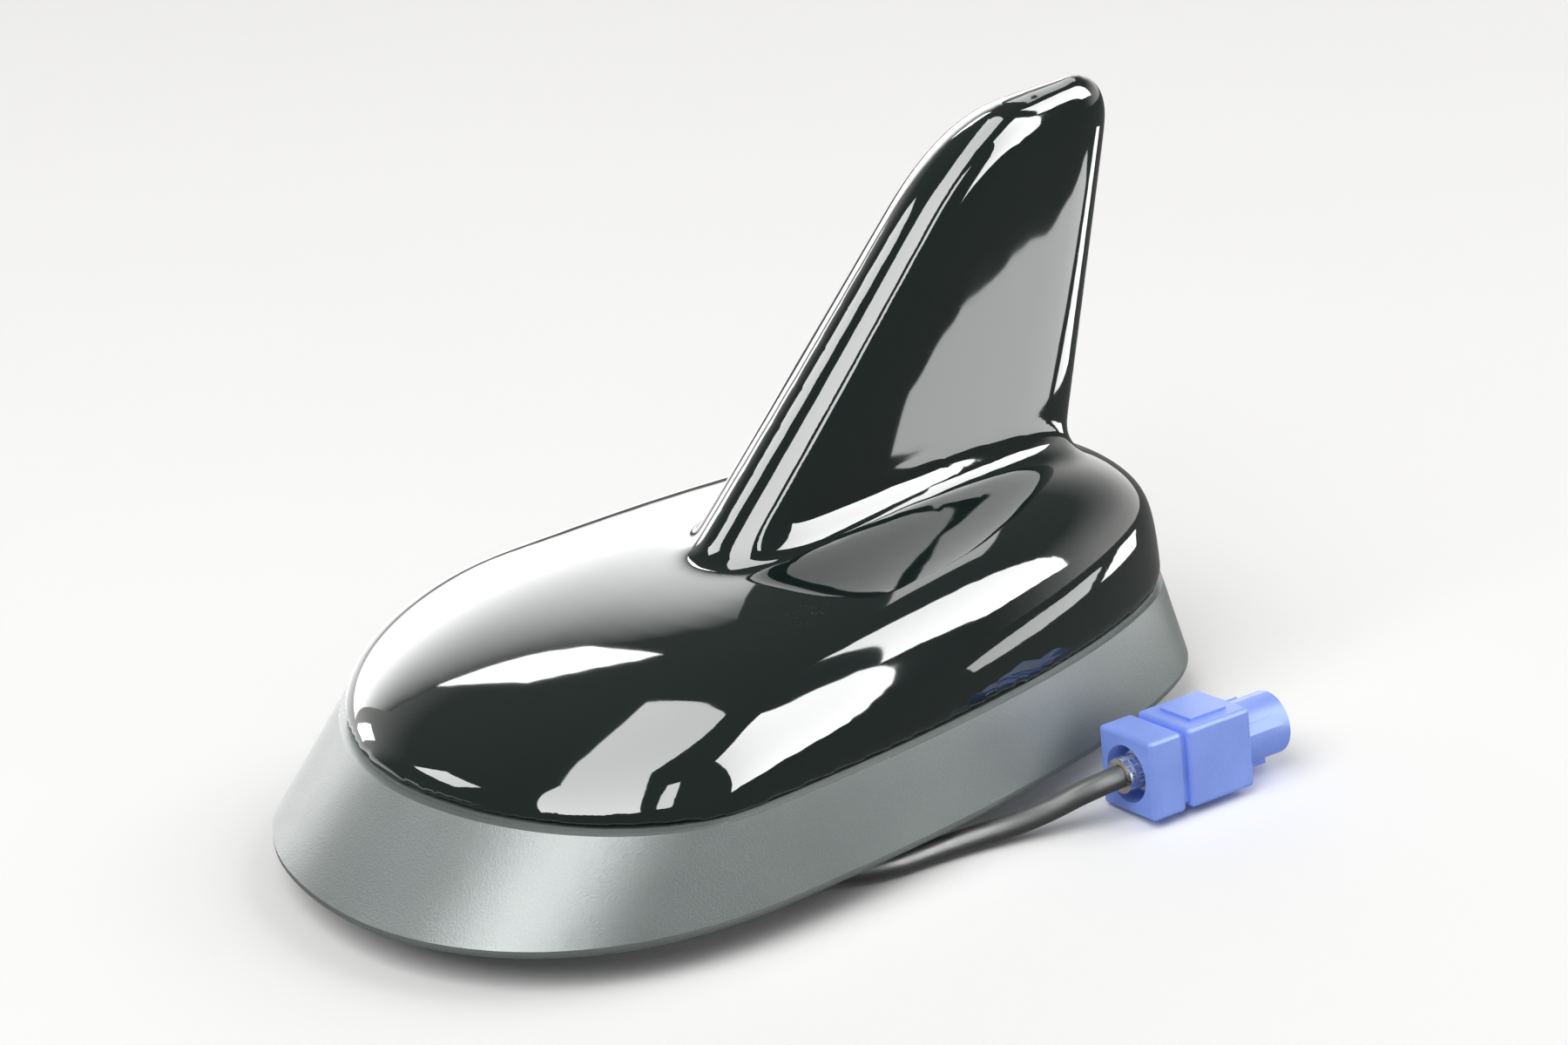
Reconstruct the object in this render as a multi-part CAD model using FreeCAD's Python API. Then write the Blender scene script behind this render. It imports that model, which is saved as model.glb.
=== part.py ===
import FreeCAD, Part
import math
import os

os.makedirs("parts", exist_ok=True)
Vec = FreeCAD.Vector

# Sizes in millimetres. +X runs to the rear, +Y to the right and +Z up from the foot of the fixing boss.

# Plan of the antenna: an egg with a blunt nose and a narrow tail
LENGTH = 112.0
WIDTH = 64.7
WIDEST_BEHIND_NOSE = 34.0
PLAN_TURNS = [step * 360 / 28 for step in range(28)]

# Powers that shape the egg at nose, along the tail and across the tail, where it meets roof and shell
ROOF_POWERS = (0.93, 1.43, 0.70)
SEAT_POWERS = (1.07, 1.54, 0.76)

# Rubber skirt between the roof and the shell
BOSS_DROP = 4.0
SKIRT_NOSE_HEIGHT = 12.0
SKIRT_TAIL_HEIGHT = 10.7
RAKE_NOSE = 9.1
RAKE_SIDE = 1.4
RAKE_TAIL = 2.5
SKIRT_WALL = 4.8
LIP_HEIGHT = 1.0
LIP_ROUND = 0.6
TONGUE_HEIGHT = 1.6
TONGUE_THICK = 1.2
SEAM_DEEP = 0.5
SEAM_TALL = 0.5

# Moulded shell
WALL = 2.2
DOME_RISE = 14.5
DOME_SLOPE = 0.115
DOME_BOW = 0.0009
DOME_POWER = 3.0
DOME_POWER_SLOPE = 0.0155

# Fin on the shell
FIN_HEIGHT = 68.9
FIN_FOOT_X = -8.4
FIN_FOOT_Z = 24.0
FIN_SUNK = 8.0
FIN_LEAN = 0.825
FIN_TAIL_X = 44.4
FIN_TAIL_LEAN = 0.175
FIN_FRONT_RADIUS = 6.4
FIN_FRONT_RADIUS_TOP = 4.8
FIN_REAR_RADIUS = 3.4
FIN_REAR_RADIUS_TOP = 2.9
FIN_TOP_SLOPE = 0.10
FIN_CREST = 4.2
FIN_FRONT_CORNER = 9.0
FIN_REAR_CORNER = 6.0
FIN_FILLET = 3.4

# Die-cast base plate with its fixing boss
PLATE_BOTTOM = 7.0
PLATE_THICK = 3.0
RIM_THICK = 1.6
RIM_GRIP = 1.5
PLATE_GAP = 0.2
BOSS_X = -8.0
BOSS_RADIUS = 15.0
BOSS_WALL = 2.0
CUP_DEPTH = 10.0
CUP_ROOF = 2.0
POST_RADIUS = 5.5
THREAD_RADIUS = 2.5
THREAD_DEPTH = 10.0
GASKET_WIDTH = 5.0
GASKET_RADIUS = BOSS_RADIUS + GASKET_WIDTH
RIB_TURNS = (0, 38, 110, 165, 195, 250, 322)
RIB_THICK = 1.6
RIB_HEIGHT = 1.6
RIB_EDGE = 1.0

# Boards and what they carry
BOARD_THICK = 1.6
BOARD_LIFT = 2.5
BOARD_BEHIND_NOSE = 19.0
BOARD_BEFORE_TAIL = 31.0
BOARD_HALF_WIDTH = 15.0
BOARD_CORNER = 4.0
BOARD_SCREW_EDGE = 2.7
PATCH_THICK = 4.0
PATCH_EDGE = 0.4
SILVER_THICK = 0.15
FEED_RADIUS = 1.1
FEED_OFF = 2.0
FEED_THICK = 0.55
CAN_WIDTH = 22.0
CAN_HEIGHT = 3.0
CAN_WALL = 0.3
CAN_ROUND = 0.6
CHIP_SIZE = 4.0
CHIP_THICK = 0.9
CHIP_OFF = 4.0
FILTER_SIZE = 3.0
FILTER_THICK = 1.1
FILTER_OFF = 3.5
RADIATOR_THICK = 1.0
RADIATOR_MARGIN = 2.2
RADIATOR_LIFT = 4.0
SPRING_WIDTH = 4.0
SPRING_REACH = 3.5
SPRING_HEIGHT = 6.0
SPRING_THICK = 0.3

# Shares of the board's length taken by what stands on it
PATCH_SHARE = 0.403
PATCH_MIDDLE_SHARE = 0.298
CAN_SHARE = 0.226
CAN_MIDDLE_SHARE = 0.661
FOOT_FRONT_SHARE = 0.823
FOOT_REAR_SHARE = 0.984

# Screws
SHELL_SCREW_RADIUS = 1.25
SHELL_SCREW_BEHIND_NOSE = 27.0
SHELL_SCREW_FRONT_Y = 19.0
SHELL_SCREW_BEFORE_TAIL = 24.0
SHELL_SCREW_REAR_Y = 10.5
SHELL_BOSS_RADIUS = 3.0
HEAD_RATIO = 1.9
HEAD_HEIGHT = 1.5
BOARD_SCREW_RADIUS = 1.1
BOARD_SCREW_DEPTH = 4.5
PILOT_DEPTH = 6.0
SCREW_GAP = 0.25
TIP_GAP = 0.5
RECESS_REACH_RATIO = 1.1
RECESS_HALF_RATIO = 0.22

# Coaxial cable, its grommet and its route along the floor
CABLE_RADIUS = 1.3
GROMMET_RADIUS = 2.4
GROMMET_FLANGE = 0.9
FLANGE_GAP = 0.45
SLOT_GAP = 0.35
HOLE_TURN = -112.0
HOLE_OUT = (POST_RADIUS + BOSS_RADIUS - BOSS_WALL) / 2
HOLE_X = BOSS_X + HOLE_OUT * math.cos(math.radians(HOLE_TURN))
HOLE_Y = HOLE_OUT * math.sin(math.radians(HOLE_TURN))
ROUTE = [
    Vec(HOLE_X, HOLE_Y, 12.5),
    Vec(HOLE_X, HOLE_Y, 1.45),
    Vec(-14.0, -19.6, 1.45),
    Vec(-5.0, -27.6, 1.45),
    Vec(7.0, -27.7, 1.45),
    Vec(16.0, -29.5, 2.0),
    Vec(23.0, -32.3, 5.1),
    Vec(28.5, -32.3, 5.1),
]

# Plug on the end of the cable
PLUG_YAW = 0.0
PLUG_ROLL = -6.0
PLUG_HEIGHT = 9.2
PLUG_WIDTH = 8.8
PLUG_TAIL = 4.6
PLUG_NECK = 0.8
PLUG_NECK_STEP = 0.7
PLUG_BODY = 8.9
PLUG_BARREL = 6.2
PLUG_BARREL_RADIUS = 3.6
PLUG_ROUND = 0.5
PLUG_BORE = 2.3
SOCKET_RADIUS = 2.8
FERRULE_LENGTH = 4.6
FERRULE_OUT = 2.4
FERRULE_OUT_RADIUS = 2.0
FERRULE_IN = 1.5
TAIL_BORE = 3.3
TAIL_BORE_DEPTH = 3.4
KEY_TURNS = (65, 180, 295)
KEY_WIDTH = 1.4
KEY_HEIGHT = 0.75
KEY_SHORT = 1.5
LOCK_LENGTH = 5.0
LOCK_WIDTH = 5.2
LOCK_DEPTH = 1.0
LOCK_THICK = 1.3
CONTACT_BORE = 1.8
SLEEVE_SHORT = 2.0
PIN_RADIUS = 0.5

NOSE = -LENGTH / 2
TAIL = LENGTH / 2
WIDEST = NOSE + WIDEST_BEHIND_NOSE
SEAL_Z = BOSS_DROP
PLATE_TOP = PLATE_BOTTOM + PLATE_THICK
BOARD_Z = PLATE_TOP + BOARD_LIFT
BOARD_TOP = BOARD_Z + BOARD_THICK
BOARD_FRONT = NOSE + BOARD_BEHIND_NOSE
BOARD_REAR = TAIL - BOARD_BEFORE_TAIL


def seat_z(x):
    """Height of the sloping plane where the shell sits on the skirt."""
    share = (x - NOSE) / LENGTH
    return SEAL_Z + SKIRT_NOSE_HEIGHT + (SKIRT_TAIL_HEIGHT - SKIRT_NOSE_HEIGHT) * share


def poles_through(points):
    """Poles of the even closed cubic that passes through the points, found by repeated correction."""
    poles = list(points)
    for _ in range(12):
        drawn = [(poles[i - 1] + poles[i] * 4 + poles[(i + 1) % len(poles)]) / 6 for i in range(len(poles))]
        poles = [pole + point - on_curve for pole, point, on_curve in zip(poles, points, drawn)]
    return poles


def egg(nose_in, side_in, tail_in, powers):
    """Poles of the plan outline, moved in by the three amounts at nose, side and tail."""
    nose, tail, half = NOSE + nose_in, TAIL - tail_in, WIDTH / 2 - side_in
    nose_power, tail_along, tail_across = powers
    points = []
    for turn in PLAN_TURNS:
        angle = math.radians(turn)
        cosine, sine = math.cos(angle), math.sin(angle)
        if cosine < 0:
            reach, along, across = WIDEST - nose, nose_power, nose_power
        else:
            reach, along, across = tail - WIDEST, tail_along, tail_across
        x = WIDEST + math.copysign(abs(cosine) ** along, cosine) * reach
        y = math.copysign(abs(sine) ** across, sine) * half
        points.append(Vec(x, y, 0))
    return [(pole.x, pole.y) for pole in poles_through(points)]


def roof_outline(inset):
    """Outline where the skirt meets the roof."""
    return egg(inset, inset, inset, ROOF_POWERS)


def seat_outline(inset):
    """Outline where the shell meets the skirt."""
    return egg(RAKE_NOSE + inset, RAKE_SIDE + inset, RAKE_TAIL + inset, SEAT_POWERS)


def closed_wire(poles):
    """Smooth closed wire drawn by its poles."""
    curve = Part.BSplineCurve()
    curve.buildFromPoles(poles, True, 3)
    return Part.Wire([curve.toShape()])


def smooth_solid(rings):
    """Solid with one smooth side drawn by rings of poles, closed by a flat end on the first and last ring."""
    around, levels = len(rings[0]), len(rings)
    poles = [[ring[step] for ring in rings] for step in range(around)]
    round_knots = list(range(around + 1))
    level_knots = list(range(levels - 2))
    level_mults = [4] + [1] * (levels - 4) + [4]
    surface = Part.BSplineSurface()
    surface.buildFromPolesMultsKnots(
        poles, [1] * (around + 1), level_mults, round_knots, level_knots, True, False, 3, 3
    )
    side = surface.toShape()
    ends = [Part.Face(Part.Wire([edge])) for edge in side.Edges if edge.isClosed()]
    skin = Part.Shell([side] + ends)
    skin.sewShape()
    solid = Part.Solid(skin)
    return solid if solid.Volume > 0 else solid.reversed()


def flat_wire(outline, z):
    """Outline laid at one height."""
    return closed_wire([Vec(x, y, z) for x, y in outline])


def prism(outline, low, high):
    """Upright solid with the outline as its plan."""
    return Part.Face(flat_wire(outline, low)).extrude(Vec(0, 0, high - low))


def cylinder(radius, x, y, low, high):
    """Upright cylinder."""
    return Part.makeCylinder(radius, high - low, Vec(x, y, low))


def block(x_low, x_high, y_low, y_high, z_low, z_high):
    """Box between two corners."""
    return Part.makeBox(x_high - x_low, y_high - y_low, z_high - z_low, Vec(x_low, y_low, z_low))


def export(shape, node):
    """Write one node and print what it holds."""
    shape = shape.removeSplitter()
    print(node, "solids", len(shape.Solids), "valid", shape.isValid(), "volume", round(shape.Volume, 1))
    shape.exportStep("parts/" + node + ".step")


# Shell: a low dome on the sloping seat, with the fin blended into it and a hollow of even wall
def dome(inset):
    """Solid under the dome, made smaller all round by the inset."""
    rings = []
    for share in (1.0, 0.985, 0.95, 0.88, 0.78, 0.64, 0.46, 0.28, 0.12):
        ring = []
        for x_edge, y_edge in seat_outline(inset):
            x, y = x_edge * share, y_edge * share
            rise = DOME_RISE + DOME_SLOPE * x - DOME_BOW * x ** 2 - inset
            power = DOME_POWER + DOME_POWER_SLOPE * x
            ring.append(Vec(x, y, seat_z(x) + rise * (1 - share ** power) ** (1 / power)))
        rings.append(ring)
    crown = rings[-1]
    far = crown[len(crown) // 2]
    slope = (crown[0].z - far.z) / (crown[0].x - far.x)
    rings[-1] = [Vec(p.x, p.y, crown[0].z + slope * (p.x - crown[0].x)) for p in crown]
    return smooth_solid(rings)


def fin_section(z, inset, front_in, rear_in, thin):
    """Closed section of the fin at one height: round nose, nearly flat sides and a narrow round tail."""
    share = (z - SEAL_Z - FIN_FOOT_Z) / (FIN_HEIGHT - FIN_FOOT_Z)
    front_r = (FIN_FRONT_RADIUS + (FIN_FRONT_RADIUS_TOP - FIN_FRONT_RADIUS) * share - inset) * thin
    rear_r = (FIN_REAR_RADIUS + (FIN_REAR_RADIUS_TOP - FIN_REAR_RADIUS) * share - inset) * thin
    height = z - SEAL_Z - FIN_FOOT_Z
    front_x = FIN_FOOT_X + FIN_LEAN * height + front_in + inset + front_r
    rear_x = FIN_TAIL_X + FIN_TAIL_LEAN * height - rear_in - inset - rear_r
    points = []
    for degrees in (-70, 0, 70):
        angle = math.radians(degrees)
        points.append((rear_x + rear_r * math.cos(angle), rear_r * math.sin(angle)))
    for part in (0.33, 0.67):
        points.append((rear_x + (front_x - rear_x) * part, rear_r + (front_r - rear_r) * (part + 0.06)))
    for degrees in (97, 135, 180, 225, 263):
        angle = math.radians(degrees)
        points.append((front_x + front_r * math.cos(angle), front_r * math.sin(angle)))
    for part in (0.67, 0.33):
        points.append((rear_x + (front_x - rear_x) * part, -rear_r - (front_r - rear_r) * (part + 0.06)))
    tilt = FIN_TOP_SLOPE * max(share, 0)
    return [Vec(x, y, z + tilt * (x - FIN_TAIL_X)) for x, y in points]


def corner(radius, below):
    """How far a quarter round of the radius has come in at a distance below its top."""
    return radius - math.sqrt(radius ** 2 - max(radius - below, 0) ** 2)


def fin(inset):
    """Solid fin from inside the dome to its rounded crest."""
    top = SEAL_Z + FIN_HEIGHT - inset
    foot = SEAL_Z + FIN_FOOT_Z - FIN_SUNK
    sections = []
    for share in (0.0, 0.3, 0.6):
        sections.append(fin_section(foot + (top - FIN_FRONT_CORNER - foot) * share, inset, 0, 0, 1))
    for below in (10.0, 7.0, 4.6, 2.6, 1.2, 0.4, 0.06):
        thin = math.sqrt(1 - max(1 - below / FIN_CREST, 0) ** 2)
        front_in, rear_in = corner(FIN_FRONT_CORNER, below), corner(FIN_REAR_CORNER, below)
        sections.append(fin_section(top - below, inset, front_in, rear_in, thin))
    return smooth_solid(sections)


def root_edges(shape):
    """Edges where the fin meets the dome: those between two different faces, clear of seat and crest."""
    found = []
    for edge in shape.Edges:
        middle = edge.valueAt((edge.FirstParameter + edge.LastParameter) / 2)
        sides = shape.ancestorsOfType(edge, Part.Face)
        if len(sides) == 2 and seat_z(middle.x) + 2 < middle.z < SEAL_Z + FIN_HEIGHT - FIN_FRONT_CORNER:
            found.append(edge)
    return found


def both_sides(place):
    """A place and its twin on the other side of the middle plane."""
    return [(place[0], place[1]), (place[0], -place[1])]


shell_screw_places = both_sides((NOSE + SHELL_SCREW_BEHIND_NOSE, SHELL_SCREW_FRONT_Y))
shell_screw_places += both_sides((TAIL - SHELL_SCREW_BEFORE_TAIL, SHELL_SCREW_REAR_Y))
PILOT_TOP = PLATE_TOP + PILOT_DEPTH

outside = dome(0).fuse(fin(0))
outside = outside.makeFillet(FIN_FILLET, root_edges(outside))
shell = outside.cut(dome(WALL).fuse(fin(WALL)))
for x, y in shell_screw_places:
    above = cylinder(SHELL_BOSS_RADIUS, x, y, PLATE_TOP, SEAL_Z + FIN_FOOT_Z).common(outside)
    below = cylinder(SHELL_BOSS_RADIUS, x, y, PLATE_TOP, seat_z(x) + 1)
    shell = shell.fuse([above, below])
for x, y in shell_screw_places:
    shell = shell.cut(cylinder(SHELL_SCREW_RADIUS, x, y, PLATE_TOP, PILOT_TOP))
export(shell, "shell")

# Skirt: one rubber ring, raked most at the nose, grooved for the plate and with a tongue inside the shell
RIM_LOW = PLATE_BOTTOM + (PLATE_THICK - RIM_THICK) / 2
RIM_HIGH = RIM_LOW + RIM_THICK
LIP_TOP = SEAL_Z + LIP_HEIGHT


def raked_ring(share):
    """Outline of the skirt at a share of its height."""
    ring = []
    for (x_low, y_low), (x_high, y_high) in zip(roof_outline(0), seat_outline(0)):
        x = x_low + (x_high - x_low) * share
        y = y_low + (y_high - y_low) * share
        ring.append(Vec(x, y, LIP_TOP + (seat_z(x_high) - LIP_TOP) * share))
    return ring


def seat_solid(outline, low, high):
    """Solid between two planes parallel to the seat."""
    lifts = [low + (high - low) * step / 3 for step in range(4)]
    return smooth_solid([[Vec(x, y, seat_z(x) + lift) for x, y in outline] for lift in lifts])


lip = prism(roof_outline(0), SEAL_Z, LIP_TOP)
lip = lip.makeFillet(LIP_ROUND, [edge for edge in lip.Edges if edge.BoundBox.ZMax < SEAL_Z + 0.01])
skirt = smooth_solid([raked_ring(step / 3) for step in range(4)]).fuse(lip)
skirt = skirt.fuse(seat_solid(seat_outline(SKIRT_WALL - TONGUE_THICK), -1, TONGUE_HEIGHT))
skirt = skirt.cut(prism(seat_outline(SKIRT_WALL), SEAL_Z - 1, SEAL_Z + SKIRT_NOSE_HEIGHT + TONGUE_HEIGHT + 1))
skirt = skirt.cut(prism(seat_outline(SKIRT_WALL - RIM_GRIP), RIM_LOW, RIM_HIGH))
seam = seat_solid(seat_outline(-1), -SEAM_TALL, SEAM_TALL)
seam = seam.cut(seat_solid(seat_outline(SEAM_DEEP), -2 * SEAM_TALL, 2 * SEAM_TALL))
skirt = skirt.cut(seam)
export(skirt, "base_seal")

# Base plate: die-cast, with the fixing boss below it and the board posts on top
CUP_RADIUS = BOSS_RADIUS - BOSS_WALL
CAP_TOP = CUP_DEPTH + CUP_ROOF
exit_way = ROUTE[2] - ROUTE[1]
EXIT_TURN = math.degrees(math.atan2(exit_way.y, exit_way.x))
board_screw_places = both_sides((BOARD_FRONT + BOARD_SCREW_EDGE, BOARD_HALF_WIDTH - BOARD_SCREW_EDGE))
board_screw_places += both_sides((BOARD_REAR - BOARD_SCREW_EDGE, BOARD_HALF_WIDTH - BOARD_SCREW_EDGE))

plate = prism(seat_outline(SKIRT_WALL + PLATE_GAP), PLATE_BOTTOM, PLATE_TOP)
plate_plan = prism(seat_outline(SKIRT_WALL + RIB_EDGE), PLATE_BOTTOM - RIB_HEIGHT, PLATE_BOTTOM)
plate = plate.fuse(prism(seat_outline(SKIRT_WALL - RIM_GRIP + PLATE_GAP), RIM_LOW, RIM_HIGH))
for turn in RIB_TURNS:
    rib_low = PLATE_BOTTOM - RIB_HEIGHT
    rib = block(GASKET_RADIUS + 1, LENGTH, -RIB_THICK / 2, RIB_THICK / 2, rib_low, PLATE_BOTTOM)
    rib.rotate(Vec(0, 0, 0), Vec(0, 0, 1), turn)
    rib.translate(Vec(BOSS_X, 0, 0))
    plate = plate.fuse(rib.common(plate_plan))
plate = plate.fuse(cylinder(BOSS_RADIUS, BOSS_X, 0, 0, CAP_TOP))
cup = cylinder(CUP_RADIUS, BOSS_X, 0, 0, CUP_DEPTH).cut(cylinder(POST_RADIUS, BOSS_X, 0, 0, CUP_DEPTH))
plate = plate.cut(cup)
plate = plate.cut(cylinder(THREAD_RADIUS, BOSS_X, 0, 0, THREAD_DEPTH))
slot_half = CABLE_RADIUS + SLOT_GAP
slot = block(0, BOSS_RADIUS, -slot_half, slot_half, 0, 2 * CABLE_RADIUS + 2 * SLOT_GAP)
slot.rotate(Vec(0, 0, 0), Vec(0, 0, 1), EXIT_TURN)
slot.translate(Vec(HOLE_X, HOLE_Y, 0))
plate = plate.cut(slot.cut(cylinder(POST_RADIUS, BOSS_X, 0, 0, CUP_DEPTH)))
plate = plate.cut(cylinder(GROMMET_RADIUS, HOLE_X, HOLE_Y, CUP_DEPTH, CAP_TOP))
for x, y in board_screw_places:
    plate = plate.fuse(cylinder(BOARD_SCREW_RADIUS * HEAD_RATIO, x, y, PLATE_TOP, BOARD_Z))
for x, y in board_screw_places:
    plate = plate.cut(cylinder(BOARD_SCREW_RADIUS, x, y, BOARD_Z - BOARD_SCREW_DEPTH, BOARD_Z))
for x, y in shell_screw_places:
    plate = plate.cut(cylinder(SHELL_SCREW_RADIUS + SCREW_GAP, x, y, PLATE_BOTTOM, PLATE_TOP))
export(plate, "base_plate")

# Foam gasket round the boss, squeezed between the plate and the roof
gasket = cylinder(GASKET_RADIUS, BOSS_X, 0, SEAL_Z, PLATE_BOTTOM)
export(gasket.cut(cylinder(BOSS_RADIUS, BOSS_X, 0, SEAL_Z, PLATE_BOTTOM)), "hub_gasket")


def screws(places, radius, head_low, head_high, tip):
    """Round-headed screws with a cross-shaped recess in each head."""
    group = []
    for x, y in places:
        screw = cylinder(radius * HEAD_RATIO, x, y, head_low, head_high)
        screw = screw.fuse(cylinder(radius, x, y, min(tip, head_low), max(tip, head_high)))
        face = head_low if tip > head_high else head_high
        reach, half = radius * RECESS_REACH_RATIO, radius * RECESS_HALF_RATIO
        for long, short in ((reach, half), (half, reach)):
            deep = (head_high - head_low) * 0.5
            screw = screw.cut(block(x - long, x + long, y - short, y + short, face - deep, face + deep))
        group.append(screw)
    return Part.makeCompound(group)


shell_screws = screws(
    shell_screw_places, SHELL_SCREW_RADIUS, PLATE_BOTTOM - HEAD_HEIGHT, PLATE_BOTTOM, PILOT_TOP - 2 * TIP_GAP
)
export(shell_screws, "shell_screws")

# Main board on its posts
board = block(BOARD_FRONT, BOARD_REAR, -BOARD_HALF_WIDTH, BOARD_HALF_WIDTH, BOARD_Z, BOARD_TOP)
upright = [edge for edge in board.Edges if edge.BoundBox.ZLength > BOARD_THICK / 2]
board = board.makeFillet(BOARD_CORNER, upright)
for x, y in board_screw_places:
    board = board.cut(cylinder(BOARD_SCREW_RADIUS, x, y, BOARD_Z, BOARD_TOP))
export(board, "main_board")
board_screw_tip = BOARD_Z - BOARD_SCREW_DEPTH + TIP_GAP
board_screws = screws(
    board_screw_places, BOARD_SCREW_RADIUS, BOARD_TOP, BOARD_TOP + HEAD_HEIGHT, board_screw_tip
)
export(board_screws, "board_screws")

# Ceramic patch for satellite signals, with its silvered face and the soldered feed
board_length = BOARD_REAR - BOARD_FRONT
patch_x = BOARD_FRONT + PATCH_MIDDLE_SHARE * board_length
patch_half = PATCH_SHARE * board_length / 2
patch_top = BOARD_TOP + PATCH_THICK
patch = block(patch_x - patch_half, patch_x + patch_half, -patch_half, patch_half, BOARD_TOP, patch_top)
export(patch.makeChamfer(PATCH_EDGE, patch.Edges), "satellite_patch")
silver = patch_half * 0.8
silver_top = patch_top + SILVER_THICK
export(block(patch_x - silver, patch_x + silver, -silver, silver, patch_top, silver_top), "patch_electrode")
export(cylinder(FEED_RADIUS, patch_x + FEED_OFF, 0, silver_top, silver_top + FEED_THICK), "patch_feed")


# Shield can with the amplifier and the filter under it
def chip(size, thick, off):
    """Square chip on the board under the can, off to one side of its middle."""
    half = size / 2
    return block(can_x - half, can_x + half, off - half, off + half, BOARD_TOP, BOARD_TOP + thick)


can_x = BOARD_FRONT + CAN_MIDDLE_SHARE * board_length
can_front = can_x - CAN_SHARE * board_length / 2
can_rear = can_x + CAN_SHARE * board_length / 2
can_half = CAN_WIDTH / 2
can_top = BOARD_TOP + CAN_HEIGHT
can = block(can_front, can_rear, -can_half, can_half, BOARD_TOP, can_top)
can = can.makeFillet(CAN_ROUND, [edge for edge in can.Edges if edge.BoundBox.ZMin > BOARD_TOP - 0.01])
inside_x = (can_front + CAN_WALL, can_rear - CAN_WALL)
inside_y = (CAN_WALL - can_half, can_half - CAN_WALL)
can = can.cut(block(*inside_x, *inside_y, BOARD_TOP, can_top - CAN_WALL))
export(can, "shield_can")
export(chip(CHIP_SIZE, CHIP_THICK, -CHIP_OFF), "amplifier_chip")
export(chip(FILTER_SIZE, FILTER_THICK, FILTER_OFF), "band_filter")

# Upright radiator board in the fin, and the spring that feeds it
foot_front = BOARD_FRONT + FOOT_FRONT_SHARE * board_length
foot_rear = BOARD_FRONT + FOOT_REAR_SHARE * board_length


def radiator_front(z):
    """Front edge of the radiator, behind the fin's inner wall."""
    return FIN_FOOT_X + FIN_LEAN * (z - SEAL_Z - FIN_FOOT_Z) + 2 * WALL + RADIATOR_MARGIN


def radiator_rear(z):
    """Rear edge of the radiator, ahead of the fin's inner wall."""
    return FIN_TAIL_X + FIN_TAIL_LEAN * (z - SEAL_Z - FIN_FOOT_Z) - 2 * WALL - RADIATOR_MARGIN


radiator_low = SEAL_Z + FIN_FOOT_Z + RADIATOR_LIFT
radiator_high = SEAL_Z + FIN_HEIGHT - FIN_FRONT_CORNER - WALL
corners = [
    (foot_front, BOARD_TOP), (foot_rear, BOARD_TOP), (foot_rear, radiator_low),
    (radiator_rear(radiator_low), radiator_low), (radiator_rear(radiator_high), radiator_high),
    (radiator_front(radiator_high), radiator_high), (radiator_front(radiator_low), radiator_low),
    (foot_front, radiator_low),
]
half = RADIATOR_THICK / 2
radiator = Part.makePolygon([Vec(x, -half, z) for x, z in corners + corners[:1]])
export(Part.Face(radiator).extrude(Vec(0, RADIATOR_THICK, 0)), "fin_radiator")
spring_x = (foot_front + foot_rear) / 2
spring_front, spring_rear = spring_x - SPRING_WIDTH / 2, spring_x + SPRING_WIDTH / 2
spring = block(spring_front, spring_rear, half, half + SPRING_REACH, BOARD_TOP, BOARD_TOP + SPRING_THICK)
blade = block(spring_front, spring_rear, half, half + SPRING_THICK, BOARD_TOP, BOARD_TOP + SPRING_HEIGHT)
export(spring.fuse(blade), "radiator_spring")


# Cable: straight runs joined by tangent arcs, from the underside of the board to the plug
def tube(points, radius):
    """Round tube along the points, with an arc of the largest fair radius at each inner point."""
    edges, start, radii = [], points[0], []
    for before, here, after in zip(points, points[1:], points[2:]):
        back, ahead = before - here, after - here
        half_turn = (math.pi - back.getAngle(ahead)) / 2
        trim = 0.45 * min(back.Length, ahead.Length)
        bend = trim / math.tan(half_turn)
        first = here + Vec(back).normalize() * trim
        last = here + Vec(ahead).normalize() * trim
        inward = (Vec(back).normalize() + Vec(ahead).normalize()).normalize()
        middle = here + inward * (bend / math.cos(half_turn) - bend)
        edges.append(Part.LineSegment(start, first).toShape())
        edges.append(Part.Arc(first, middle, last).toShape())
        start = last
        radii.append(round(bend, 1))
    edges.append(Part.LineSegment(start, points[-1]).toShape())
    path = Part.Wire(edges)
    ring = Part.Wire([Part.Circle(points[0], points[1] - points[0], radius).toShape()])
    print("cable radii", radii, "length", round(path.Length, 1))
    return path.makePipeShell([ring], True, False), path.Length


cable, cable_length = tube(ROUTE, CABLE_RADIUS)
expected_volume = math.pi * CABLE_RADIUS ** 2 * cable_length
print("cable volume", round(cable.Volume, 1), "expected", round(expected_volume, 1))
export(cable, "coax_cable")

flange_radius = (CUP_RADIUS - POST_RADIUS) / 2 - FLANGE_GAP
grommet = cylinder(GROMMET_RADIUS, HOLE_X, HOLE_Y, CUP_DEPTH, CAP_TOP)
grommet = grommet.fuse(cylinder(flange_radius, HOLE_X, HOLE_Y, CUP_DEPTH - GROMMET_FLANGE, CUP_DEPTH))
export(grommet.cut(cylinder(CABLE_RADIUS, HOLE_X, HOLE_Y, 0, CAP_TOP)), "cable_grommet")


# Plug, drawn along +X from the end of the cable and then turned and set in place
def rod(radius, start, end):
    """Cylinder along the plug's axis."""
    return Part.makeCylinder(radius, end - start, Vec(start, 0, 0), Vec(1, 0, 0))


def bar(start, end, width, height):
    """Box centred on the plug's axis."""
    return block(start, end, -width / 2, width / 2, -height / 2, height / 2)


def place_plug(shape, node):
    """Turn a piece of the plug to its roll and yaw and set it on the cable's end."""
    shape.rotate(Vec(0, 0, 0), Vec(1, 0, 0), PLUG_ROLL)
    shape.rotate(Vec(0, 0, 0), Vec(0, 0, 1), PLUG_YAW)
    shape.translate(ROUTE[-1])
    export(shape, node)


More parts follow.
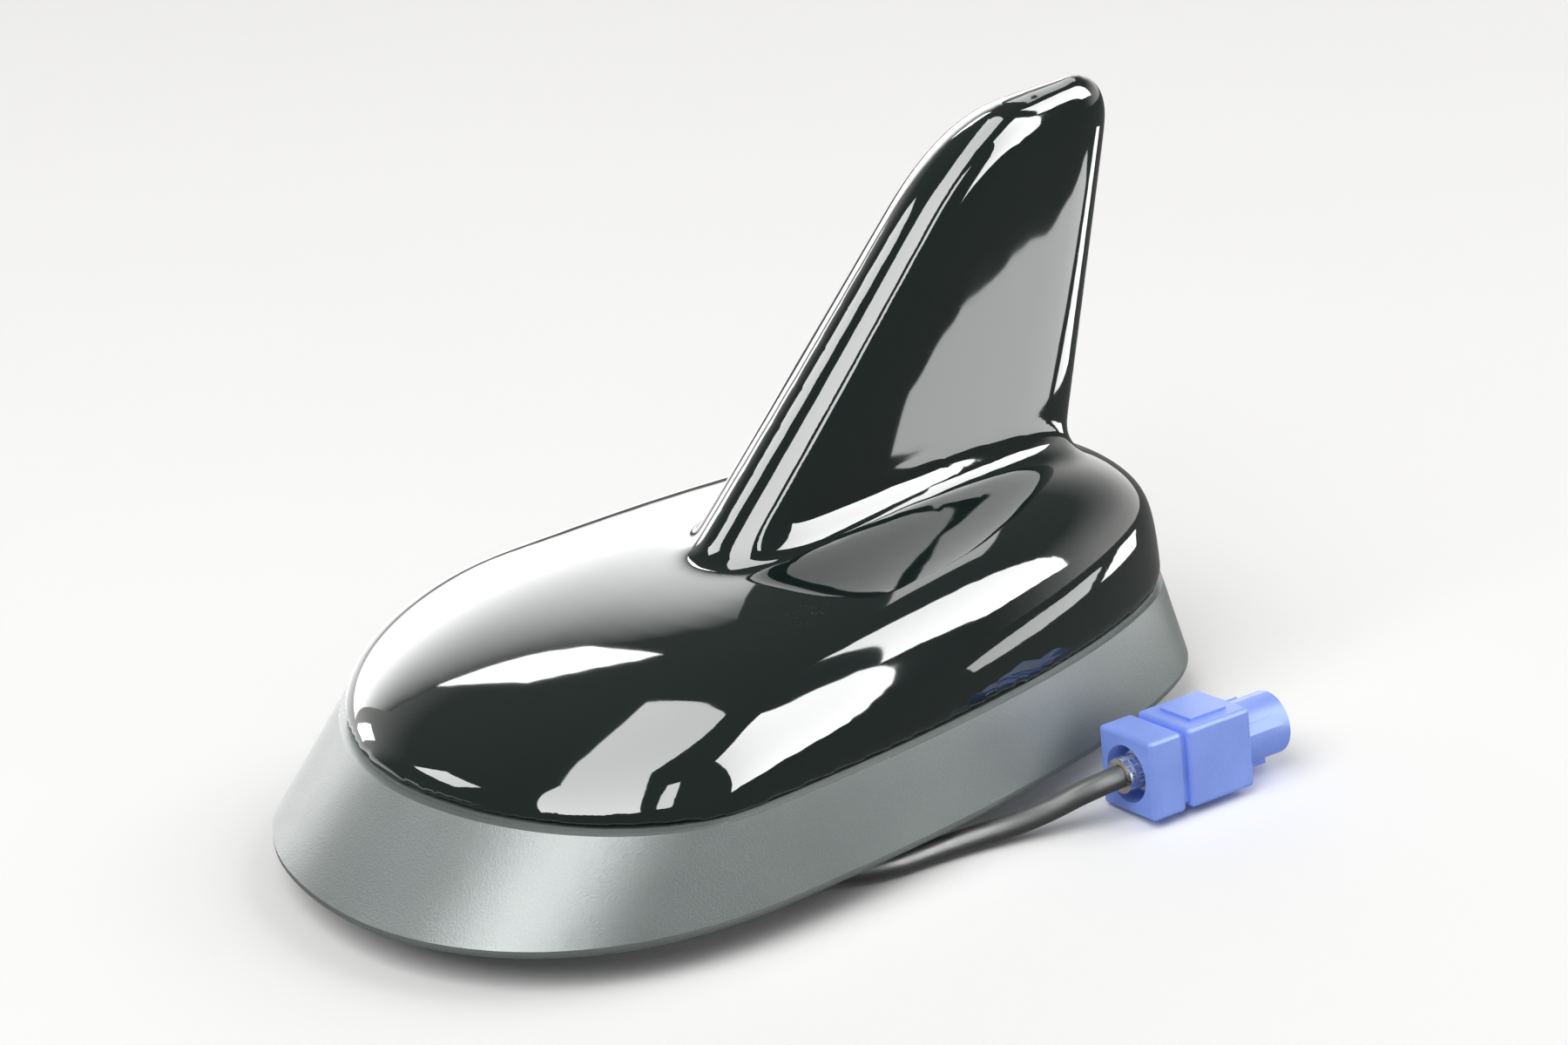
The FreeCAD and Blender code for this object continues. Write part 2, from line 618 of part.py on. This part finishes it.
tail_start = -FERRULE_IN
neck_start = tail_start + PLUG_TAIL
body_start = neck_start + PLUG_NECK
barrel_start = body_start + PLUG_BODY
barrel_end = barrel_start + PLUG_BARREL
housing = bar(tail_start, neck_start, PLUG_WIDTH, PLUG_HEIGHT)
housing = housing.makeFillet(PLUG_ROUND, housing.Edges)
main = bar(body_start, barrel_start, PLUG_WIDTH, PLUG_HEIGHT)
main = main.makeFillet(PLUG_ROUND, main.Edges)
neck = bar(neck_start - 1, body_start + 1, PLUG_WIDTH - 2 * PLUG_NECK_STEP, PLUG_HEIGHT - 2 * PLUG_NECK_STEP)
barrel = rod(PLUG_BARREL_RADIUS, barrel_start - 1, barrel_end)
housing = housing.fuse([neck, main, barrel])
for turn in KEY_TURNS:
    key = block(barrel_start - 1, barrel_end - KEY_SHORT, -KEY_WIDTH / 2, KEY_WIDTH / 2, 0,
                PLUG_BARREL_RADIUS + KEY_HEIGHT)
    key.rotate(Vec(0, 0, 0), Vec(1, 0, 0), turn)
    housing = housing.fuse(key)
housing = housing.cut(rod(TAIL_BORE, tail_start, tail_start + TAIL_BORE_DEPTH))
housing = housing.cut(rod(PLUG_BORE, tail_start, barrel_start))
housing = housing.cut(rod(SOCKET_RADIUS, barrel_start, barrel_end))
lock_x = body_start + PLUG_BODY / 2
lock_plan = (lock_x - LOCK_LENGTH / 2, lock_x + LOCK_LENGTH / 2, -LOCK_WIDTH / 2, LOCK_WIDTH / 2)
housing = housing.cut(block(*lock_plan, PLUG_HEIGHT / 2 - LOCK_DEPTH, PLUG_HEIGHT / 2))
place_plug(housing, "plug_housing")
lock = block(*lock_plan, PLUG_HEIGHT / 2 - LOCK_DEPTH, PLUG_HEIGHT / 2 - LOCK_DEPTH + LOCK_THICK)
place_plug(lock, "plug_lock")
ferrule = rod(PLUG_BORE, 0, FERRULE_LENGTH).cut(rod(CONTACT_BORE, FERRULE_LENGTH - 1, FERRULE_LENGTH))
crimp = rod(FERRULE_OUT_RADIUS, -FERRULE_OUT, 0).cut(rod(CABLE_RADIUS, -FERRULE_OUT, 0))
place_plug(ferrule.fuse(crimp), "crimp_ferrule")
sleeve_start, sleeve_end = FERRULE_LENGTH, barrel_end - SLEEVE_SHORT
sleeve = rod(PLUG_BORE, sleeve_start, sleeve_end).cut(rod(CONTACT_BORE, sleeve_start, sleeve_end))
place_plug(sleeve, "contact_sleeve")
insulator_end = barrel_start + 1
insulator = rod(CONTACT_BORE, sleeve_start, insulator_end).cut(rod(PIN_RADIUS, sleeve_start, insulator_end))
place_plug(insulator, "contact_insulator")
place_plug(rod(PIN_RADIUS, sleeve_start, sleeve_end - 1), "contact_pin")
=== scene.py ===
import math

import bmesh
import bpy
import numpy as np
from mathutils import Matrix, Vector


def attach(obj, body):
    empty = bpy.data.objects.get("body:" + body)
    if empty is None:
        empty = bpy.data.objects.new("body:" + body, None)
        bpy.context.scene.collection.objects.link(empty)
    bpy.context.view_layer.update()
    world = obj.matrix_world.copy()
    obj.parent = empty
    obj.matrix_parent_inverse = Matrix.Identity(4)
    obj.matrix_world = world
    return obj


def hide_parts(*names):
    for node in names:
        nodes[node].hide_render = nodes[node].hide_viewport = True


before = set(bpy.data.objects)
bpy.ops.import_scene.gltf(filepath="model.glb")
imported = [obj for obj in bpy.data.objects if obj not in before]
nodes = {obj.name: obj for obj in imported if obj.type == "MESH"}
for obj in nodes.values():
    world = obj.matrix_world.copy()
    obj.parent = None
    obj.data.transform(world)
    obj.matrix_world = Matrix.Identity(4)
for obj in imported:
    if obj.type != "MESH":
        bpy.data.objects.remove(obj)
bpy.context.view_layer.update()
scene = bpy.context.scene


# Camera: where the photograph was taken from, ahead of the left flank and 23 degrees above it.
# Its direction, place and lens come from fitting the skirt's two outlines in the frame.
def toward(azimuth, elevation):
    """Unit vector of a direction in degrees; azimuth 0 is the near flank, 90 the tail.

    It is the azimuth's sine and minus its cosine, both times the elevation's cosine, and the
    elevation's sine.
    """
    east, lift = math.radians(azimuth), math.radians(elevation)
    flat = math.cos(lift)
    return Vector((math.sin(east) * flat, -math.cos(east) * flat, math.sin(lift)))


photo_width, focal_pixels, sensor_width = 1800, 4702.554, 36.0
azimuth, elevation, roll = -33.918, 22.984, math.radians(-2.505)
aim, distance = Vector((0.00525, 0.0, 0.030378)), 0.45
back = toward(azimuth, elevation)
level = Vector((math.cos(math.radians(azimuth)), math.sin(math.radians(azimuth)), 0.0))
raised = back.cross(level)
rightward = level * math.cos(roll) + raised * math.sin(roll)
upward = raised * math.cos(roll) - level * math.sin(roll)
axes = Matrix((rightward, upward, back)).transposed().to_4x4()
camera = bpy.data.objects.new("camera", bpy.data.cameras.new("camera"))
camera.data.sensor_width = sensor_width
camera.data.lens = focal_pixels / photo_width * sensor_width
camera.data.clip_start = 0.01
camera.matrix_world = Matrix.Translation(aim + back * distance) @ axes
scene.collection.objects.link(camera)
scene.camera = camera


# Lead: thin coaxial cable in a satin black jacket, extruded over its braid, with a fine grain.
# It runs from the boss under the antenna to the plug, where the ferrule crimps it.
# Its spline has the route's own points, so it lies under the skirt's edge and on the floor.
def calculate(tree, operation, *values):
    """Math node fed by sockets or plain numbers; returns its result."""
    node = tree.nodes.new("ShaderNodeMath")
    node.operation = operation
    for socket, value in zip(node.inputs, values):
        if isinstance(value, (int, float)):
            socket.default_value = value
        else:
            tree.links.new(value, socket)
    return node.outputs[0]


def effect(name, inputs, outputs):
    """Empty node group of floats, inputs as (name, default); returns tree, input and output."""
    tree = bpy.data.node_groups.new(name, "ShaderNodeTree")
    for label, default in inputs:
        socket = tree.interface.new_socket(label, in_out="INPUT", socket_type="NodeSocketFloat")
        socket.default_value = default
    for label in outputs:
        tree.interface.new_socket(label, in_out="OUTPUT", socket_type="NodeSocketFloat")
    return tree, tree.nodes.new("NodeGroupInput"), tree.nodes.new("NodeGroupOutput")


def noise(tree, size, detail, stretch=(1.0, 1.0, 1.0)):
    """Noise from 0 to 1 on the piece's own coordinates, in blobs about size millimetres wide.

    Each axis is multiplied by its stretch, so a small stretch draws the blobs out along it.
    """
    place = tree.nodes.new("ShaderNodeTexCoord")
    mapping = tree.nodes.new("ShaderNodeMapping")
    mapping.inputs["Scale"].default_value = stretch
    texture = tree.nodes.new("ShaderNodeTexNoise")
    if isinstance(detail, float):
        texture.inputs["Detail"].default_value = detail
    else:
        tree.links.new(detail, texture.inputs["Detail"])
    tree.links.new(place.outputs["Object"], mapping.inputs["Vector"])
    tree.links.new(mapping.outputs["Vector"], texture.inputs["Vector"])
    millimetres = 1000.0
    tree.links.new(calculate(tree, "DIVIDE", millimetres, size), texture.inputs["Scale"])
    return texture.outputs[0]


# Grain: its height is a noise, and its tone is one plus Amount times the noise less a half.
grain, enter, leave = effect(
    "grain", (("Size", 0.5), ("Amount", 0.1), ("Detail", 4.0)), ("Height", "Tone")
)
speck = noise(grain, enter.outputs["Size"], enter.outputs["Detail"])
swing = calculate(grain, "SUBTRACT", speck, 0.5)
shading = calculate(grain, "MULTIPLY_ADD", swing, enter.outputs["Amount"], 1.0)
grain.links.new(speck, leave.inputs["Height"])
grain.links.new(shading, leave.inputs["Tone"])


def material(slot, colour, roughness, metallic=0.0):
    """New Principled material with its plain values set; returns material, tree and shader."""
    made = bpy.data.materials.new("look_" + slot)
    made.use_nodes = True
    shader = made.node_tree.nodes["Principled BSDF"]
    shader.inputs["Base Color"].default_value = (*colour, 1.0)
    shader.inputs["Roughness"].default_value = roughness
    shader.inputs["Metallic"].default_value = metallic
    return made, made.node_tree, shader


def use(tree, group, **values):
    """Node of a shared effect with its strengths set."""
    node = tree.nodes.new("ShaderNodeGroup")
    node.node_tree = group
    for label, value in values.items():
        node.inputs[label].default_value = value
    return node


def tone(tree, shader, factor):
    """Multiplies the shader's own colour by a factor that varies over the surface."""
    shade = tree.nodes.new("ShaderNodeHueSaturation")
    shade.inputs["Color"].default_value = shader.inputs["Base Color"].default_value
    tree.links.new(factor, shade.inputs["Value"])
    tree.links.new(shade.outputs["Color"], shader.inputs["Base Color"])


def emboss(tree, shader, height, depth):
    """Raises the surface by a height from 0 to 1, times a depth in millimetres."""
    bump = tree.nodes.new("ShaderNodeBump")
    bump.inputs["Strength"].default_value = 1.0
    bump.inputs["Distance"].default_value = depth / 1000
    tree.links.new(height, bump.inputs["Height"])
    tree.links.new(bump.outputs["Normal"], shader.inputs["Normal"])


def roughen(tree, shader, mask, low, high):
    """Roughness that goes evenly from low to high with the mask."""
    varied = calculate(tree, "MULTIPLY_ADD", mask, high - low, low)
    tree.links.new(varied, shader.inputs["Roughness"])


jacket, tree, shader = material("cable_jacket", colour=(0.030, 0.032, 0.032), roughness=0.38)
weave = use(tree, grain, Size=0.25, Amount=0.5)
tone(tree, shader, weave.outputs["Tone"])
emboss(tree, shader, weave.outputs["Height"], depth=0.02)
rubbed = use(tree, grain, Size=2.5)
roughen(tree, shader, rubbed.outputs["Height"], low=0.25, high=0.55)
route = [
    (-0.011465, -0.008577, 0.01250), (-0.011465, -0.008577, 0.00145),
    (-0.0140, -0.0196, 0.00145), (-0.0050, -0.0276, 0.00145), (0.0070, -0.0277, 0.00145),
    (0.0160, -0.0295, 0.0020), (0.0230, -0.0323, 0.0051), (0.0285, -0.0323, 0.0051),
]
curve = bpy.data.curves.new("lead", "CURVE")
curve.dimensions = "3D"
curve.bevel_depth = 0.0013
curve.bevel_resolution = 8
curve.resolution_u = 24
curve.use_fill_caps = True
spline = curve.splines.new("NURBS")
spline.points.add(len(route) - 1)
for point, place in zip(spline.points, route):
    point.co = (*place, 1.0)
spline.order_u = 3
spline.use_endpoint_u = True
curve.materials.append(jacket)
lead = bpy.data.objects.new("lead", curve)
scene.collection.objects.link(lead)
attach(lead, "root")
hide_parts("coax_cable")

# Skirt: one ring of satin grey rubber, moulded with a fine spark-eroded texture.
# It grips the rim of the base plate and leaves a narrow dark seam under the shell.
wall_share, cloud_size, bare_limit = 0.15, 14.0, 0.46
# Dust: one where a fine noise times a broad one, times how far the surface faces up, is high.
dust, enter, leave = effect("dust", (("Size", 0.35), ("Share", 0.1)), ("Mask",))
facing = dust.nodes.new("ShaderNodeNewGeometry")
parts = dust.nodes.new("ShaderNodeSeparateXYZ")
dust.links.new(facing.outputs["Normal"], parts.inputs[0])
lying = calculate(dust, "MAXIMUM", parts.outputs["Z"], wall_share)
fleck = noise(dust, enter.outputs["Size"], detail=2.0)
cloud = noise(dust, cloud_size, detail=3.0)
chance = calculate(dust, "MULTIPLY", calculate(dust, "MULTIPLY", fleck, cloud), lying)
limit = calculate(dust, "SUBTRACT", bare_limit, enter.outputs["Share"])
dust.links.new(calculate(dust, "GREATER_THAN", chance, limit), leave.inputs["Mask"])


def dapple(tree, shader, mask, colour):
    """Lays a second colour over the toned one where the mask is one."""
    mix = tree.nodes.new("ShaderNodeMix")
    mix.data_type = "RGBA"
    socket = shader.inputs["Base Color"]
    tree.links.new(socket.links[0].from_socket, mix.inputs["A"])
    mix.inputs["B"].default_value = (*colour, 1.0)
    tree.links.new(mask, mix.inputs["Factor"])
    tree.links.new(mix.outputs["Result"], socket)


def dress(node, look):
    """Gives a CAD node its finished material."""
    nodes[node].material_slots[0].material = look


rubber, tree, shader = material("grey_rubber", colour=(0.100, 0.121, 0.116), roughness=0.40)
shader.inputs["Specular IOR Level"].default_value = 0.75
fine = use(tree, grain, Size=0.22, Amount=0.35)
patchy = use(tree, grain, Size=9.0, Amount=0.16)
tone(tree, shader, calculate(tree, "MULTIPLY", fine.outputs["Tone"], patchy.outputs["Tone"]))
settled = use(tree, dust, Size=0.3, Share=0.07)
dapple(tree, shader, settled.outputs["Mask"], colour=(0.42, 0.42, 0.40))
emboss(tree, shader, fine.outputs["Height"], depth=0.03)
roughen(tree, shader, patchy.outputs["Height"], low=0.32, high=0.42)
dress("base_seal", rubber)

# Shell: gloss black moulding with a faint green cast, polished like paint, the fin blended into it.
# A slight waviness bends its reflections; hairlines and a few flecks of dust break the gloss.
# Its own facets look ragged at the fin's root, so an even, smoothed copy of them stands for it.
clear_limit = 0.78
# Hairlines: one where the larger of two noises, drawn out along and across, is high.
hairlines, enter, leave = effect("hairlines", (("Size", 3.0), ("Share", 0.06)), ("Mask",))
streak = noise(hairlines, enter.outputs["Size"], detail=3.0, stretch=(0.12, 1.0, 5.0))
crossing = noise(hairlines, enter.outputs["Size"], detail=3.0, stretch=(4.0, 0.2, 0.6))
either = calculate(hairlines, "MAXIMUM", streak, crossing)
limit = calculate(hairlines, "SUBTRACT", clear_limit, enter.outputs["Share"])
hairlines.links.new(calculate(hairlines, "GREATER_THAN", either, limit), leave.inputs["Mask"])
gloss, tree, shader = material("gloss_shell", colour=(0.006, 0.013, 0.0115), roughness=0.04)
shader.inputs["IOR"].default_value = 1.55
wave = use(tree, grain, Size=16.0, Amount=0.2, Detail=0.0)
tone(tree, shader, wave.outputs["Tone"])
settled = use(tree, dust, Size=0.28, Share=0.01)
dapple(tree, shader, settled.outputs["Mask"], colour=(0.035, 0.036, 0.035))
emboss(tree, shader, wave.outputs["Height"], depth=0.004)
wiped = use(tree, hairlines, Size=2.2, Share=0.07)
roughen(tree, shader, wiped.outputs["Mask"], low=0.035, high=0.06)
dress("shell", gloss)
same_point = 1e-6
merged = bmesh.new()
merged.from_mesh(nodes["shell"].data)
bmesh.ops.remove_doubles(merged, verts=merged.verts, dist=same_point)
polished = bpy.data.meshes.new("shell_skin")
merged.to_mesh(polished)
merged.free()
polished.materials.clear()
polished.materials.append(gloss)
shell_skin = bpy.data.objects.new("shell_skin", polished)
scene.collection.objects.link(shell_skin)
even = shell_skin.modifiers.new("even", "REMESH")
even.mode = "VOXEL"
even.voxel_size = 0.00054
even.use_smooth_shade = True
settle = shell_skin.modifiers.new("settle", "SMOOTH")
settle.factor = 0.5
settle.iterations = 20
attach(shell_skin, "root")
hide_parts("shell")

# Base plate: aluminium die casting with a sandy skin, ribs and the threaded boss.
# The skirt's groove holds its rim, and four screws pull it up to the shell.
casting, tree, shader = material(
    "cast_metal", colour=(0.55, 0.56, 0.57), roughness=0.45, metallic=0.9
)
sand = use(tree, grain, Size=0.35, Amount=0.35)
flow = use(tree, grain, Size=7.0, Amount=0.3)
tone(tree, shader, calculate(tree, "MULTIPLY", sand.outputs["Tone"], flow.outputs["Tone"]))
emboss(tree, shader, sand.outputs["Height"], depth=0.05)
roughen(tree, shader, flow.outputs["Height"], low=0.3, high=0.62)
dress("base_plate", casting)

# Gasket and grommet: black foam, round the boss and round the lead where it goes up to the board.
# Both are cut from sheet and pressed in place, so open cells show on every face.
foam, tree, shader = material("black_foam", colour=(0.022, 0.022, 0.022), roughness=0.9)
cells = use(tree, grain, Size=0.45, Amount=1.2)
tone(tree, shader, cells.outputs["Tone"])
emboss(tree, shader, cells.outputs["Height"], depth=0.15)
roughen(tree, shader, cells.outputs["Height"], low=0.8, high=1.0)
dress("hub_gasket", foam)
dress("cable_grommet", foam)

# Screws and the solder drop: zinc-plated steel, turned and faintly clouded.
# Four hold the plate to the shell, and four hold the board on its posts.
zinc, tree, shader = material(
    "zinc_steel", colour=(0.62, 0.62, 0.60), roughness=0.3, metallic=1.0
)
cloudy = use(tree, grain, Size=1.2, Amount=0.25)
tone(tree, shader, cloudy.outputs["Tone"])
crystals = use(tree, grain, Size=0.12)
emboss(tree, shader, crystals.outputs["Height"], depth=0.01)
roughen(tree, shader, cloudy.outputs["Height"], low=0.2, high=0.45)
for name in ("shell_screws", "board_screws", "patch_feed"):
    dress(name, zinc)

# Boards: glass-fibre laminate under green varnish, with the weave just showing.
# The main board lies on the plate's posts, and the radiator stands up into the fin.
varnish, tree, shader = material("circuit_board", colour=(0.02, 0.16, 0.07), roughness=0.35)
cloth = use(tree, grain, Size=0.6, Amount=0.5)
tone(tree, shader, cloth.outputs["Tone"])
threads = use(tree, hairlines, Size=5.0, Share=0.16)
dapple(tree, shader, threads.outputs["Mask"], colour=(0.05, 0.30, 0.12))
emboss(tree, shader, cloth.outputs["Height"], depth=0.02)
roughen(tree, shader, cloth.outputs["Height"], low=0.25, high=0.5)
dress("main_board", varnish)
dress("fin_radiator", varnish)

# Patch: white ceramic tile with a silvered face, soldered to the board.
# The ceramic is chalky with fine specks; the silver is screen-printed and slightly streaked.
ceramic, tree, shader = material("white_ceramic", colour=(0.72, 0.68, 0.60), roughness=0.6)
chalk = use(tree, grain, Size=0.3, Amount=0.2)
tone(tree, shader, chalk.outputs["Tone"])
emboss(tree, shader, chalk.outputs["Height"], depth=0.02)
roughen(tree, shader, chalk.outputs["Height"], low=0.5, high=0.75)
dress("satellite_patch", ceramic)
silver, tree, shader = material(
    "silver_film", colour=(0.80, 0.80, 0.78), roughness=0.35, metallic=1.0
)
tarnish = use(tree, grain, Size=2.0, Amount=0.2)
tone(tree, shader, tarnish.outputs["Tone"])
printed = use(tree, hairlines, Size=1.5, Share=0.2)
roughen(tree, shader, printed.outputs["Mask"], low=0.28, high=0.45)
dress("patch_electrode", silver)

# Shield can, ferrule and sleeve: drawn sheet plated with nickel, with faint drawing lines.
# The can covers the amplifier; ferrule and sleeve hold the lead's braid in the plug.
nickel, tree, shader = material("nickel", colour=(0.72, 0.71, 0.68), roughness=0.25, metallic=1.0)
bloom = use(tree, grain, Size=1.5, Amount=0.2)
tone(tree, shader, bloom.outputs["Tone"])
drawn = use(tree, hairlines, Size=0.8, Share=0.2)
roughen(tree, shader, drawn.outputs["Mask"], low=0.2, high=0.38)
for name in ("shield_can", "crimp_ferrule", "contact_sleeve"):
    dress(name, nickel)

# Chips: black moulding compound with a fine matt grain.
# The amplifier and its filter are soldered to the board under the can.
compound, tree, shader = material("chip_black", colour=(0.02, 0.02, 0.02), roughness=0.7)
matt = use(tree, grain, Size=0.15, Amount=0.6)
tone(tree, shader, matt.outputs["Tone"])
emboss(tree, shader, matt.outputs["Height"], depth=0.02)
dress("amplifier_chip", compound)
dress("band_filter", compound)

# Contacts: gold-plated spring and pin, with a slightly uneven plating.
# The spring feeds the radiator, and the pin is the plug's centre contact.
gold, tree, shader = material(
    "gold_contact", colour=(0.80, 0.60, 0.25), roughness=0.22, metallic=1.0
)
plated = use(tree, grain, Size=0.6, Amount=0.25)
tone(tree, shader, plated.outputs["Tone"])
roughen(tree, shader, plated.outputs["Height"], low=0.15, high=0.35)
dress("radiator_spring", gold)
dress("contact_pin", gold)

# Insulator: white polymer bush that centres the pin in its sleeve.
# It is turned from rod, so it has a fine even grain.
polymer, tree, shader = material("white_insulator", colour=(0.80, 0.80, 0.78), roughness=0.45)
turned = use(tree, grain, Size=0.2, Amount=0.12)
tone(tree, shader, turned.outputs["Tone"])
emboss(tree, shader, turned.outputs["Height"], depth=0.01)
dress("contact_insulator", polymer)

# Plug: satin blue moulding in two blocks with a keyed barrel, and its sliding lock on top.
# The colour runs slightly paler where the plastic flowed in, over a fine moulded grain.
blue, tree, shader = material("plug_blue", colour=(0.20, 0.31, 0.80), roughness=0.4)
shader.inputs["Specular IOR Level"].default_value = 0.3
moulded = use(tree, grain, Size=0.25, Amount=0.18)
flowed = use(tree, grain, Size=5.0, Amount=0.25)
tone(tree, shader, calculate(tree, "MULTIPLY", moulded.outputs["Tone"], flowed.outputs["Tone"]))
emboss(tree, shader, moulded.outputs["Height"], depth=0.02)
roughen(tree, shader, flowed.outputs["Height"], low=0.32, high=0.5)
dress("plug_housing", blue)
dress("plug_lock", blue)

# Floor: one plain pale sheet just under the boss's foot, wide enough to fill every view.
# It keeps the shadow, and the gloss shows the room's cards instead of it.
reach, below = 3.0, -0.0001
ground = bpy.data.meshes.new("floor")
ground.from_pydata([
    (-reach, -reach, below), (reach, -reach, below), (reach, reach, below), (-reach, reach, below),
], [], [(0, 1, 2, 3)])
pale, tree, shader = material("floor", colour=(0.93, 0.93, 0.925), roughness=0.8)
shader.inputs["Specular IOR Level"].default_value = 0.0
mottled = use(tree, grain, Size=60.0, Amount=0.02)
tone(tree, shader, mottled.outputs["Tone"])
ground.materials.append(pale)
floor = bpy.data.objects.new("floor", ground)
floor.visible_glossy = False
scene.collection.objects.link(floor)

# Cards: the white sheets and windows of the room, seen only as images in the gloss.
# Each hangs between four corners, and its brightness may run from one edge to another.
glowing = bpy.data.materials.new("look_card")
glowing.use_nodes = True
tree = glowing.node_tree
tree.nodes.clear()
strength = tree.nodes.new("ShaderNodeAttribute")
strength.attribute_name = "glow"
lit = tree.nodes.new("ShaderNodeEmission")
surface = tree.nodes.new("ShaderNodeOutputMaterial")
tree.links.new(strength.outputs["Fac"], lit.inputs["Strength"])
tree.links.new(lit.outputs[0], surface.inputs["Surface"])


def hang(name, points, faces, glow):
    """Sheet with a brightness at each point, which lights nothing and shows only in the gloss."""
    made = bpy.data.meshes.new(name)
    made.from_pydata(points.tolist(), [], faces)
    made.attributes.new("glow", "FLOAT", "POINT").data.foreach_set("value", glow.astype(np.float32))
    made.materials.append(glowing)
    held = bpy.data.objects.new(name, made)
    held.visible_camera = held.visible_diffuse = held.visible_shadow = False
    scene.collection.objects.link(held)


def card(name, corners, brightness, away=2.0, steps=8, middle=(0.0, 0.0, 0.03)):
    """Bilinear patch between four directions (azimuth, elevation), away metres from the middle.

    A point at shares a along and u up weighs the corners by (1-a)(1-u), a(1-u), au and (1-a)u.
    """
    ways = np.array([toward(*corner) for corner in corners])
    along, up = np.meshgrid(np.linspace(0, 1, steps + 1), np.linspace(0, 1, steps + 1))
    weights = ((1 - along) * (1 - up), along * (1 - up), along * up, (1 - along) * up)
    shares = np.stack(weights, axis=-1).reshape(-1, 4)
    first = (np.arange(steps)[:, None] * (steps + 1) + np.arange(steps)).ravel()
    faces = np.stack((first, first + 1, first + steps + 2, first + steps + 1), axis=1).tolist()
    hang(name, shares @ ways * away + middle, faces, shares @ np.broadcast_to(brightness, 4))


def sheet(name, outline, brightness, height=0.0005):
    """Flat sheet just over the floor inside an outline of (x, y) in metres."""
    points = np.column_stack((np.array(outline), np.full(len(outline), height)))
    hang(name, points, [tuple(range(len(outline)))], np.full(len(outline), brightness))


card("card_top", ((168, 55), (123, 75), (-64, 77), (-113, 63)), (9, 10, 12, 12))
card("card_nose", ((-113, 63), (-64, 77), (-35, 12), (-75, 13)), (12, 12, 15, 15))
card("card_right", ((10, 62), (68, 64), (42, 1), (17, 1)), (15, 19, 21, 17))
card("card_tail", ((96, 63), (68, 15), (56, 22), (54, 42)), (14, 19, 20, 20))
card("card_root", ((148, 36), (139, 30), (106, 50), (113, 57)), 5.0)
card("card_back", ((177, 32), (167, 34), (161, 44), (172, 41)), 18.0)
card("card_rim", ((-160, 1), (-167, 1), (-169, 20), (-160, 19)), 11.0)
card("card_far", ((-143, 33), (-119, 33), (-119, 44), (-143, 44)), 12.0)
card("card_slit", ((-29, 12), (-21, 12), (-20, 54), (-28, 54)), 13.0)
card("card_behind", ((-170, 2), (140, 2), (150, 29), (-174, 15)), (7, 7, 8, 8))
card("card_behind_top", ((-174, 15), (150, 29), (152, 43), (-176, 28)), (8, 8, 0.3, 0.3))
sheet("sheet_right", (
    (0.075, -0.069), (0.112, -0.046), (0.190, -0.060), (0.200, -0.074), (0.172, -0.092),
    (0.150, -0.100), (0.130, -0.099), (0.111, -0.094), (0.093, -0.086),
), 6.2)
sheet("sheet_tail", ((0.115, -0.040), (0.240, -0.050), (0.240, -0.016), (0.130, -0.016)), 11.0)
sheet("sheet_back", ((-0.8, 0.03), (0.08, 0.03), (0.08, 1.5), (-0.8, 1.5)), 2.2)


# Lamps: a broad soft key from the nose side and a weaker one from the tail.
# They give shade and shadow only, and don't show in the gloss.
def lamp(name, azimuth, elevation, wide, share, away=1.5):
    """Square lamp facing the antenna that gives the floor the given share of full white.

    Its power is share times the area of a sphere of radius away, over the sine of its elevation.
    """
    way = toward(azimuth, elevation)
    light = bpy.data.lights.new(name, "AREA")
    light.size = wide
    light.energy = share * 4 * math.pi * away ** 2 / math.sin(math.radians(elevation))
    holder = bpy.data.objects.new(name, light)
    holder.location = way * away
    holder.rotation_euler = way.to_track_quat("Z", "Y").to_euler()
    holder.visible_camera = holder.visible_glossy = False
    scene.collection.objects.link(holder)


lamp("lamp_key", azimuth=-70, elevation=55, wide=1.2, share=0.47)
lamp("lamp_fill", azimuth=65, elevation=45, wide=1.0, share=0.16)

# Room: dim walls, with a glow along the horizon behind the antenna and past its tail.
# The glow fades upward, and it is what the top of the dome shows.
wall_glow, horizon_glow = 0.25, 2.1
world = bpy.data.worlds.new("room")
world.use_nodes = True
scene.world = world
tree = world.node_tree
sky = tree.nodes["Background"]
direction = tree.nodes.new("ShaderNodeTexCoord")
split = tree.nodes.new("ShaderNodeSeparateXYZ")
tree.links.new(direction.outputs["Generated"], split.inputs[0])
side = calculate(tree, "ADD", split.outputs["X"], split.outputs["Y"])
behind = tree.nodes.new("ShaderNodeMapRange")
behind.interpolation_type = "SMOOTHSTEP"
behind.inputs["From Min"].default_value = 0.2
behind.inputs["From Max"].default_value = 0.75
tree.links.new(side, behind.inputs["Value"])
ramp = tree.nodes.new("ShaderNodeValToRGB")
stops = ((0.0, 0.0), (0.49, 0.0), (0.5, 1.0), (0.62, 0.85), (0.72, 0.42), (0.80, 0.0))
while len(ramp.color_ramp.elements) < len(stops):
    ramp.color_ramp.elements.new(0.5)
for element, (height, grey) in zip(ramp.color_ramp.elements, stops):
    element.position = height
    element.color = (grey, grey, grey, 1.0)
climb = calculate(tree, "MULTIPLY_ADD", split.outputs["Z"], 0.5, 0.5)
tree.links.new(climb, ramp.inputs["Fac"])
glow = calculate(tree, "MULTIPLY", ramp.outputs["Color"], behind.outputs["Result"])
total = calculate(tree, "MULTIPLY_ADD", glow, horizon_glow, wall_glow)
tree.links.new(total, sky.inputs["Strength"])
sky.inputs["Color"].default_value = (1.0, 0.985, 0.965, 1.0)

scene.view_settings.view_transform = "Standard"
